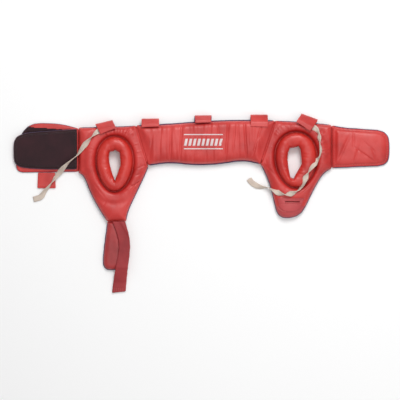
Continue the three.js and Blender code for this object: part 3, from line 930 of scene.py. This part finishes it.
def add_right_closure():
    base, full = 1.5, 9.5
    tab = remeshed("right_closure_pad", ["right_closure_cover", "right_closure_foam"], 2.2, 1.5)
    outline = section_loops(tab, 0.005)[0]
    subdivide(tab)
    points = coordinates(tab)
    distance, _ = loop_distance(points, outline)
    flange = 0.5 + 0.5 * dome(np.maximum(distance - 3.5 * MM, 0), 0.012)
    flange *= 1 - 0.22 * bell(drawn(points)[0] - 228, 2.6)
    reshape_heights(tab, base, flange)
    points = coordinates(tab)
    weight = upper_weight(points, base, full) * dome(distance, 0.01)
    rise = noise_field(points, 0.02, 0.028, 12.0) * 1.1 * MM
    for fold in RIGHT_CLOSURE_FOLDS:
        rise += crease(points, *fold)
    points[:, 2] += rise * weight
    meet_ear(points, 221.9, base + 1)
    set_coordinates(tab, points)
    smooth_shading(tab)
    paint(tab, RED)
    rows = stitches("right_closure_stitches", inset_path(outline, 3.2, 4), tab, THREAD)
    edge = edging("right_closure_edge", outline, base + 0.8, 0.9, 0.3)
    join(tab, rows, edge)
    panel = remeshed("right_closure_hooks", ["right_closure_hook_panel"], 2.4, 5.0)
    paint(panel, HOOK_PILE)
    for piece in (tab, panel):
        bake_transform(piece)
    declare(["right_closure_cover", "right_closure_foam"])
    declare(["right_closure_hook_panel"])


def add_left_closure():
    flap = remeshed("left_closure_pad", ["left_closure_cover", "left_closure_foam"], 2.2, 2.0)
    outline = section_loops(flap, 0.006)[0]
    points = coordinates(flap)
    meet_ear(points, -208, 5.5)
    set_coordinates(flap, points)
    paint(flap, RED, LOOP_PILE)
    rim = at(0, 51).y
    seam = at(-210.3, 0).x
    for face in flap.data.polygons:
        covered = face.center.z > 5 * MM and face.center.y > rim and face.center.x < seam
        face.material_index = int(covered)
    join(flap, edging("left_closure_edge", outline, 4.6, 0.5, 0.1))
    panel = remeshed("left_closure_loops", ["left_closure_loop_panel"], 1.8, 4.0, 2)
    points = coordinates(panel)
    panel_outline = section_loops(panel, 0.0091)[0]
    wave = noise_field(points, 0.03, 0.03, 14.0) * 0.35 + noise_field(points, 0.006, 0.006, 15.0) * 0.1
    upper = points[:, 2] > 0.0091
    points[upper, 2] += wave[upper] * MM
    set_coordinates(panel, points)
    paint(panel, LOOP_PILE)
    rows = stitches("left_closure_stitches", inset_path(panel_outline, 1.8, 4), panel, HOOK_PILE)
    welt_line = [(at(-209.4, y).x, at(0, y).y, 9.4 * MM) for y in (55, 70, 85, 100, 112, 121)]
    welt = tube("left_closure_welt", welt_line, 0.55, RED, False)
    join(panel, rows, welt)
    for piece in (flap, panel):
        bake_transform(piece)
    declare(["left_closure_cover", "left_closure_foam"])
    declare(["left_closure_loop_panel"])
    return flap, panel


def add_neck_flap():
    flap = remeshed("neck_flap_sheet", ["neck_flap"], 2.2, 4.0)
    outline = section_loops(flap, 0.0017)[0]
    paint(flap, RED, LOOP_PILE)
    border_x = [at(x, 0).x for x in (-300, -292.5, -283.7, -261.3, -236.8, -222, -200)]
    border_y = [at(0, y).y for y in (140, 131.0, 129.6, 128.4, 126.6, 124.0, 121.5)]
    middle = at(0, 100).y
    panel = remeshed("neck_flap_loops", ["neck_flap_loop_panel"], 1.2, 4.0, 2)
    paint(panel, RED, LOOP_PILE)
    for face in [*flap.data.polygons, *panel.data.polygons]:
        limit = np.interp(face.center.x, border_x, border_y)
        face.material_index = int(middle < face.center.y < limit and face.center.z > 1.7 * MM)
    join(flap, edging("neck_flap_edge", outline, 1.3, 0.5, 0.1))
    for piece in (flap, panel):
        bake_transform(piece)
    declare(["neck_flap"])
    declare(["neck_flap_loop_panel"])
    return flap, panel


def add_pull_tab():
    tab = remeshed("pull_tab_strip", ["pull_tab"], 1.0, 3.0, 2)
    points = coordinates(tab)
    low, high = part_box("pull_tab")
    hem = low.y + 5.5 * MM
    upper = points[:, 2] > (low.z + high.z) / 2
    points[upper, 2] += 0.5 * MM * bell(points[upper, 1] - hem + 1.5 * MM, 2.5 * MM)
    points[upper, 2] += noise_field(points[upper], 0.012, 0.02, 3.0) * 0.3 * MM
    set_coordinates(tab, points)
    paint(tab, RED)
    inset = 2.2 * MM
    path = [Vector((low.x + inset, hem, 0)), Vector((high.x - inset, hem, 0))]
    join(tab, stitches("pull_tab_stitches", path, tab, THREAD))
    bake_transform(tab)
    declare(["pull_tab"])
    return tab


# ---- chin pieces ----
def add_chin_pad():
    pad = remeshed("chin_pad_tongue", ["chin_pad_cover", "chin_pad_foam"], 2.0, 1.4)
    outline = section_loops(pad, 0.005)[0]
    subdivide(pad)
    points = coordinates(pad)
    distance, _ = loop_distance(points, outline)
    reshape_heights(pad, 1.5, 0.45 + 0.55 * dome(distance, 0.010))
    points = coordinates(pad)
    weight = upper_weight(points, 1.5, 9.0)
    points[:, 2] += noise_field(points, 0.013, 0.02, 2.0) * 0.6 * MM * weight
    points[:, 2] = np.minimum(points[:, 2], 9.2 * MM)
    set_coordinates(pad, points)
    smooth_shading(pad)
    paint(pad, RED_CHIN)
    join(pad, edging("chin_pad_edge", outline, 2.2, 0.9, 0.2))
    lining = remeshed("chin_pad_inner", ["chin_pad_lining"], 2.2, 5.0)
    paint(lining, LINING)
    low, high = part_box("chin_pad_cover")
    for piece in (pad, lining):
        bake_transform(piece)
    declare(["chin_pad_cover", "chin_pad_foam"])
    declare(["chin_pad_lining"])


def add_chin_strap():
    strap = remeshed("chin_strap_band", ["chin_strap"], 1.3, 1.6, 3)
    points = coordinates(strap)
    low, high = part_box("chin_strap")
    x, y = drawn(points)
    ripple = noise_field(points, 0.02, 0.03, 5.0) * 0.8
    fold = 1.2 * bell(x + 124 + 0.6 * (y + 50), 2.2)
    near_top = np.clip((y + 75) / 25, 0, 1)
    lying = np.clip((points[:, 2] / MM) / 4, 0, 1)
    points[:, 2] += (np.maximum(ripple, -0.2) * lying + fold * near_top) * MM
    set_coordinates(strap, points)
    paint(strap, RED_STRAP)
    rows = []
    hem = low.y + 7 * MM
    for i, y in enumerate((hem, hem - 2.2 * MM)):
        path = [Vector((at(x, 0).x, y, 0)) for x in (-149, -131)]
        rows.append(stitches(f"strap_stitches_{i}", path, strap, THREAD))
    join(strap, *rows)
    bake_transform(strap)
    declare(["chin_strap"])


LOBE_SEAM = [(129.5, -4), (132, -8.5), (137, -12), (144, -13.6)]


def add_keeper(surface):
    patch = remeshed("chin_strap_patch", ["chin_strap_keeper"], 1.1, 4.0, 2)
    low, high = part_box("chin_strap_keeper")
    points = coordinates(patch)
    tree = tree_of(surface)
    middle = (low.z + high.z) / 2
    for i, point in enumerate(points):
        hit, _ = below(tree, point[0], point[1])
        ground = hit.z if hit is not None else middle
        thick = 1.3 * MM if point[2] > middle else 0.15 * MM
        points[i, 2] = ground + thick
    set_coordinates(patch, points)
    paint(patch, RED_PATCH)
    rows = []
    frame_path = [at(131, 8), at(173.4, 8), at(173.4, -1.6), at(131, -1.6), at(131, 8)]
    rows.append(stitches("patch_stitches", frame_path, patch, THREAD))
    rows.append(stitches("lobe_stitches", [at(175.6, 22), at(175.6, 2)], surface, THREAD))
    lifted = tree_of(patch)

    def on_top(x, y, lift):
        spot = at(x, y)
        ground = below(lifted, spot.x, spot.y)[0] or below(tree, spot.x, spot.y)[0]
        return (spot.x, spot.y, ground.z + lift * MM)

    xs = np.linspace(142, 167, 14)
    lips = ((3.2, SLIT, 0.8, -0.35), (5.1, RED_PATCH, 0.85, 0.1), (1.3, RED_PATCH, 0.85, 0.1))
    for i, (y, material, radius, lift) in enumerate(lips):
        rows.append(tube(f"slit_{i}", [on_top(x, y, lift) for x in xs], radius, material, False))
    rows.append(tube("lobe_seam", [on_top(x, y, 0.0) for x, y in LOBE_SEAM], 0.6, THREAD, False))
    join(patch, *rows)
    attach(patch, "right_ear")
    declare(["chin_strap_keeper"])


# ---- lace loops ----
LOOP_BODIES = ["left_ear", "forehead_left", "forehead_centre", "forehead_right", "right_ear"]
# how far the lace pulls over each loop's corners: lower left, lower right, upper left, upper right
LOOP_PULL = {
    1: ((4.0, 0.0), (2.6, 1.4), (-0.6, 1.6), (1.5, -4.0)),
    2: ((0.0, 4.4), (0.8, 5.6), (0.0, 0.4), (0.0, 1.0)),
    3: ((1.2, 6.0), (-0.8, 6.4), (1.2, -0.6), (-0.8, -0.4)),
    4: ((0.0, -2.2), (0.0, -3.0), (0.0, 0.6), (0.0, 0.6)),
    5: ((-3.0, 4.2), (-7.0, -2.9), (0.6, -1.0), (1.2, -1.0)),
}
LOOP_TILT = {1: 19.0, 2: 2.0, 3: 3.0, 4: 0.0, 5: -19.0}


def pull_loop(loop, number):
    points = coordinates(loop)
    tilt = math.radians(LOOP_TILT[number])
    along = np.array([math.cos(tilt), math.sin(tilt)])
    across = np.array([-math.sin(tilt), math.cos(tilt)])
    u, v = points[:, :2] @ along, points[:, :2] @ across
    u = (u - u.min()) / np.ptp(u)
    front = points[:, 2] > 0.55 * points[:, 2].max()
    low = v[front].min()
    v = np.clip((v - low) / (v.max() - low), 0, 1)
    lower_left, lower_right, upper_left, upper_right = (np.array(c) for c in LOOP_PULL[number])
    lower = lower_left * (1 - u)[:, None] + lower_right * u[:, None]
    upper = upper_left * (1 - u)[:, None] + upper_right * u[:, None]
    shift = lower * (1 - v)[:, None] + upper * v[:, None]
    fade = np.clip((points[:, 2] / MM - 3) / 10, 0, 1)
    points[:, :2] += shift * fade[:, None] * MM
    set_coordinates(loop, points)


def add_lace_loops():
    for number, body in enumerate(LOOP_BODIES, 1):
        name = f"lace_loop_{number}"
        loop = remeshed(f"loop_{number}", [name], 0.85, 1.0, 2)
        low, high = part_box(name)
        pull_loop(loop, number)
        inside = Vector(((low.x + high.x) / 2, low.y + 0.45 * (high.y - low.y), 9 * MM))
        paint(loop, RED, LINING)
        for face in loop.data.polygons:
            towards = inside - face.center
            towards.x = 0
            if face.normal.dot(towards) > 0.35 * towards.length and abs(face.normal.x) < 0.75:
                face.material_index = 1
        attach(loop, body)
        declare([name])


# ---- lace ----
LACE_WIDTH = 9.5
LACE_THICKNESS = 1.2
# the loose ends as x, y, z and the half turns of the flat lace so far
LEFT_TAIL = [
    (-159, 129.0, 17.9, 0.0), (-166, 126.4, 17.9, 0.0), (-173.4, 122.8, 17.9, 0.04),
    (-183.3, 114.4, 17.9, 0.42), (-196, 100.3, 17.9, 1.0), (-203.5, 90.5, 17.8, 1.2),
    (-210.1, 82, 15.5, 1.42), (-218, 75, 13.5, 1.52), (-226, 68.2, 11.9, 1.64),
    (-238.7, 55.2, 10.6, 2.0), (-248, 43.5, 6.5, 2.24), (-256.3, 31.8, 3.7, 2.58),
    (-265, 21.5, 3.6, 2.78), (-270.5, 13.5, 1.6, 3.0), (-276, 9.8, 1.0, 3.0),
    (-284.8, 7.6, 0.9, 3.0),
]
RIGHT_TAIL = [
    (179, 135, 17.9, 0.0), (185.5, 132.6, 17.9, 0.0), (191, 129.2, 17.9, 0.0),
    (196, 124.6, 17.9, 0.16), (198.9, 119, 17.9, 0.4), (199.8, 112, 17.9, 0.22),
    (200.4, 103.6, 18.0, 0.5), (202.4, 92, 18.4, 0.68), (200.4, 80.2, 21.5, 0.6),
    (192, 68.5, 25.0, 1.0), (181.6, 54.2, 25.4, 1.45), (176.4, 43.8, 25.4, 2.0),
    (170.5, 30.5, 24.0, 2.3), (164, 22.5, 21.0, 2.45), (154.2, 17.8, 18.2, 2.9),
    (147, 16.2, 18.0, 3.2), (140.6, 15.9, 18.0, 3.55), (129.5, 19.2, 18.0, 4.0),
    (117.8, 26.2, 17.0, 4.42), (109, 28.0, 11.0, 4.6), (101.4, 28.6, 3.4, 4.8),
    (93, 31.5, 0.9, 5.0), (86, 36.5, 0.9, 5.0), (81.3, 42.5, 0.9, 5.0),
]


def smooth_path(points, spacing=1.6):
    """Points a set spacing apart along a smooth curve through the given ones, and their turns."""
    knots = np.array([[*at(x, y, z), turn] for x, y, z, turn in points])
    padded = np.vstack([2 * knots[0] - knots[1], knots, 2 * knots[-1] - knots[-2]])
    out = []
    for i in range(1, len(padded) - 2):
        p0, p1, p2, p3 = padded[i - 1:i + 3]
        count = max(2, int(np.linalg.norm((p2 - p1)[:3]) / (spacing * MM)))
        for k in range(count):
            t = k / count
            out.append(0.5 * ((2 * p1) + (p2 - p0) * t + (2 * p0 - 5 * p1 + 4 * p2 - p3) * t ** 2
                              + (3 * p1 - p0 - 3 * p2 + p3) * t ** 3))
    out.append(padded[-2])
    out = np.array(out)
    return [Vector(p) for p in out[:, :3]], out[:, 3] * math.pi


def lace_tail(name, points, surfaces):
    path, turn = smooth_path(points)
    count = len(path)
    centreline = []
    for point, low, angle in zip(path, settle(path, surfaces, 0.8), turn):
        stand = abs(math.sin(angle)) * LACE_WIDTH * 0.36 * MM
        centreline.append(Vector((point.x, point.y, low.z + stand)))
    heights = np.array([p.z for p in centreline])
    for _ in range(8):
        beside = heights[:-2] + heights[2:]
        heights[1:-1] = np.maximum(heights[1:-1], 0.5 * beside) * 0.5 + 0.25 * beside
    for point, height in zip(centreline, heights):
        point.z = height
    work = bmesh.new()
    rings = []
    half, thick = LACE_WIDTH / 2, LACE_THICKNESS / 2
    face = [(x * half, y * thick) for x, y in ((-0.94, -1), (-0.5, -1), (0, -0.9), (0.5, -1), (0.94, -1))]
    section = [(-half, 0), *face, (half, 0), *[(-x, -y) for x, y in face]]
    for i, point in enumerate(centreline):
        ahead = centreline[min(i + 1, count - 1)] - centreline[max(i - 1, 0)]
        tangent = ahead.normalized()
        side = Vector((-tangent.y, tangent.x, 0)).normalized()
        up = tangent.cross(side)
        cosine, sine = math.cos(turn[i]), math.sin(turn[i])
        narrow = 1 - 0.28 * abs(sine)
        across = side * cosine + up * sine
        over = up * cosine - side * sine
        rings.append([work.verts.new(point + (across * x * narrow + over * y) * MM) for x, y in section])
    sides = len(section)
    for first, second in zip(rings, rings[1:]):
        for k in range(sides):
            work.faces.new((first[k], first[(k + 1) % sides], second[(k + 1) % sides], second[k]))
    work.faces.new(rings[0][::-1])
    work.faces.new(rings[-1])
    bmesh.ops.recalc_face_normals(work, faces=work.faces)
    tail = from_bmesh(name, work, LACE)
    smooth_shading(tail)
    length = sum((b - a).length for a, b in zip(centreline, centreline[1:]))
    return tail, centreline, length


def add_lace(ears, closure_pieces, floor_pieces):
    left_surfaces = [*ears["left"], *closure_pieces, *floor_pieces]
    right_surfaces = [*ears["right"]]
    left, left_path, left_length = lace_tail("lace_end_left", LEFT_TAIL, left_surfaces)
    right, right_path, right_length = lace_tail("lace_end_right", RIGHT_TAIL, right_surfaces)
    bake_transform(left)
    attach(right, "right_ear")
    tails = (("left", left, left_path, left_length), ("right", right, right_path, right_length))
    for side, tail, path, length in tails:
        declare([f"lace_tail_{side}"])
    for name in ("lace_left_ear", "lace_left", "lace_centre", "lace_right", "lace_right_ear"):
        paint(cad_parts[name], LACE)
    for side in ("left", "right"):
        fold = remeshed(f"lace_fold_{side}", [f"lace_turn_{side}"], 0.6, 1.0, 2)
        points = coordinates(fold)
        crown = points[:, 1].max() - 2.8 * MM
        points[:, 1] = np.maximum(points[:, 1], crown - 4.5 * MM)
        set_coordinates(fold, points)
        paint(fold, LACE)
        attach(fold, f"{side}_ear")
        declare([f"lace_turn_{side}"])


# ---- generic print on the forehead ----
PRINT_BARS = 9
PRINT_LIFT = 0.14
PRINT_CELL = 1.2


def add_print(surface):
    """Two thin rules with a row of leaning bars between them, pressed onto the leather."""
    tree = tree_of(surface)
    cells = []
    for rule in ("print_lower_rule", "print_upper_rule"):
        low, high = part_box(rule)
        cells.append((low.x, high.x, low.y, high.y, 0.0))
    low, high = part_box("print_bar")
    pitch = (high.x - low.x) / PRINT_BARS
    for i in range(PRINT_BARS):
        start = low.x + i * pitch
        cells.append((start, start + pitch * 0.62, low.y, high.y, pitch * 0.34))
    work = bmesh.new()
    lift = PRINT_LIFT * MM
    for x0, x1, y0, y1, lean in cells:
        columns = max(2, int((x1 - x0) / (PRINT_CELL * MM)))
        rows = max(2, int((y1 - y0) / (PRINT_CELL * MM)))
        grid = []
        for j in range(rows + 1):
            row = []
            for i in range(columns + 1):
                v = j / rows
                x = x0 + (x1 - x0) * i / columns + lean * v
                y = y0 + (y1 - y0) * v
                row.append((x, y, below(tree, x, y)[0].z))
            grid.append(row)
        upper = [[work.verts.new((x, y, z + lift)) for x, y, z in row] for row in grid]
        lower = [[work.verts.new((x, y, z - lift)) for x, y, z in row] for row in grid]
        for j in range(rows):
            for i in range(columns):
                work.faces.new((upper[j][i], upper[j][i + 1], upper[j + 1][i + 1], upper[j + 1][i]))
                work.faces.new((lower[j + 1][i], lower[j + 1][i + 1], lower[j][i + 1], lower[j][i]))
        rim = [(j, 0) for j in range(rows, 0, -1)] + [(0, i) for i in range(columns)]
        rim += [(j, columns) for j in range(rows)] + [(rows, i) for i in range(columns, 0, -1)]
        for (j0, i0), (j1, i1) in zip(rim, rim[1:] + rim[:1]):
            work.faces.new((lower[j0][i0], lower[j1][i1], upper[j1][i1], upper[j0][i0]))
    bmesh.ops.recalc_face_normals(work, faces=work.faces)
    marks = from_bmesh("print_marks", work, PRINT)
    smooth_shading(marks)
    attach(marks, "forehead_centre")
    declare(["print_lower_rule", "print_upper_rule", "print_bar"])


add_camera()
add_studio()
forehead_surface = add_forehead()
ear_surfaces = add_ears()
left_closure, left_panel = add_left_closure()
neck_flap, neck_panel = add_neck_flap()
pull_tab = add_pull_tab()
add_lace(ear_surfaces, [left_closure, left_panel], [neck_flap, pull_tab])
add_right_closure()
add_linings()
add_chin_pad()
add_chin_strap()
add_keeper(ear_surfaces["right"][0])
add_lace_loops()
add_print(forehead_surface)
bpy.data.objects.remove(forehead_surface)
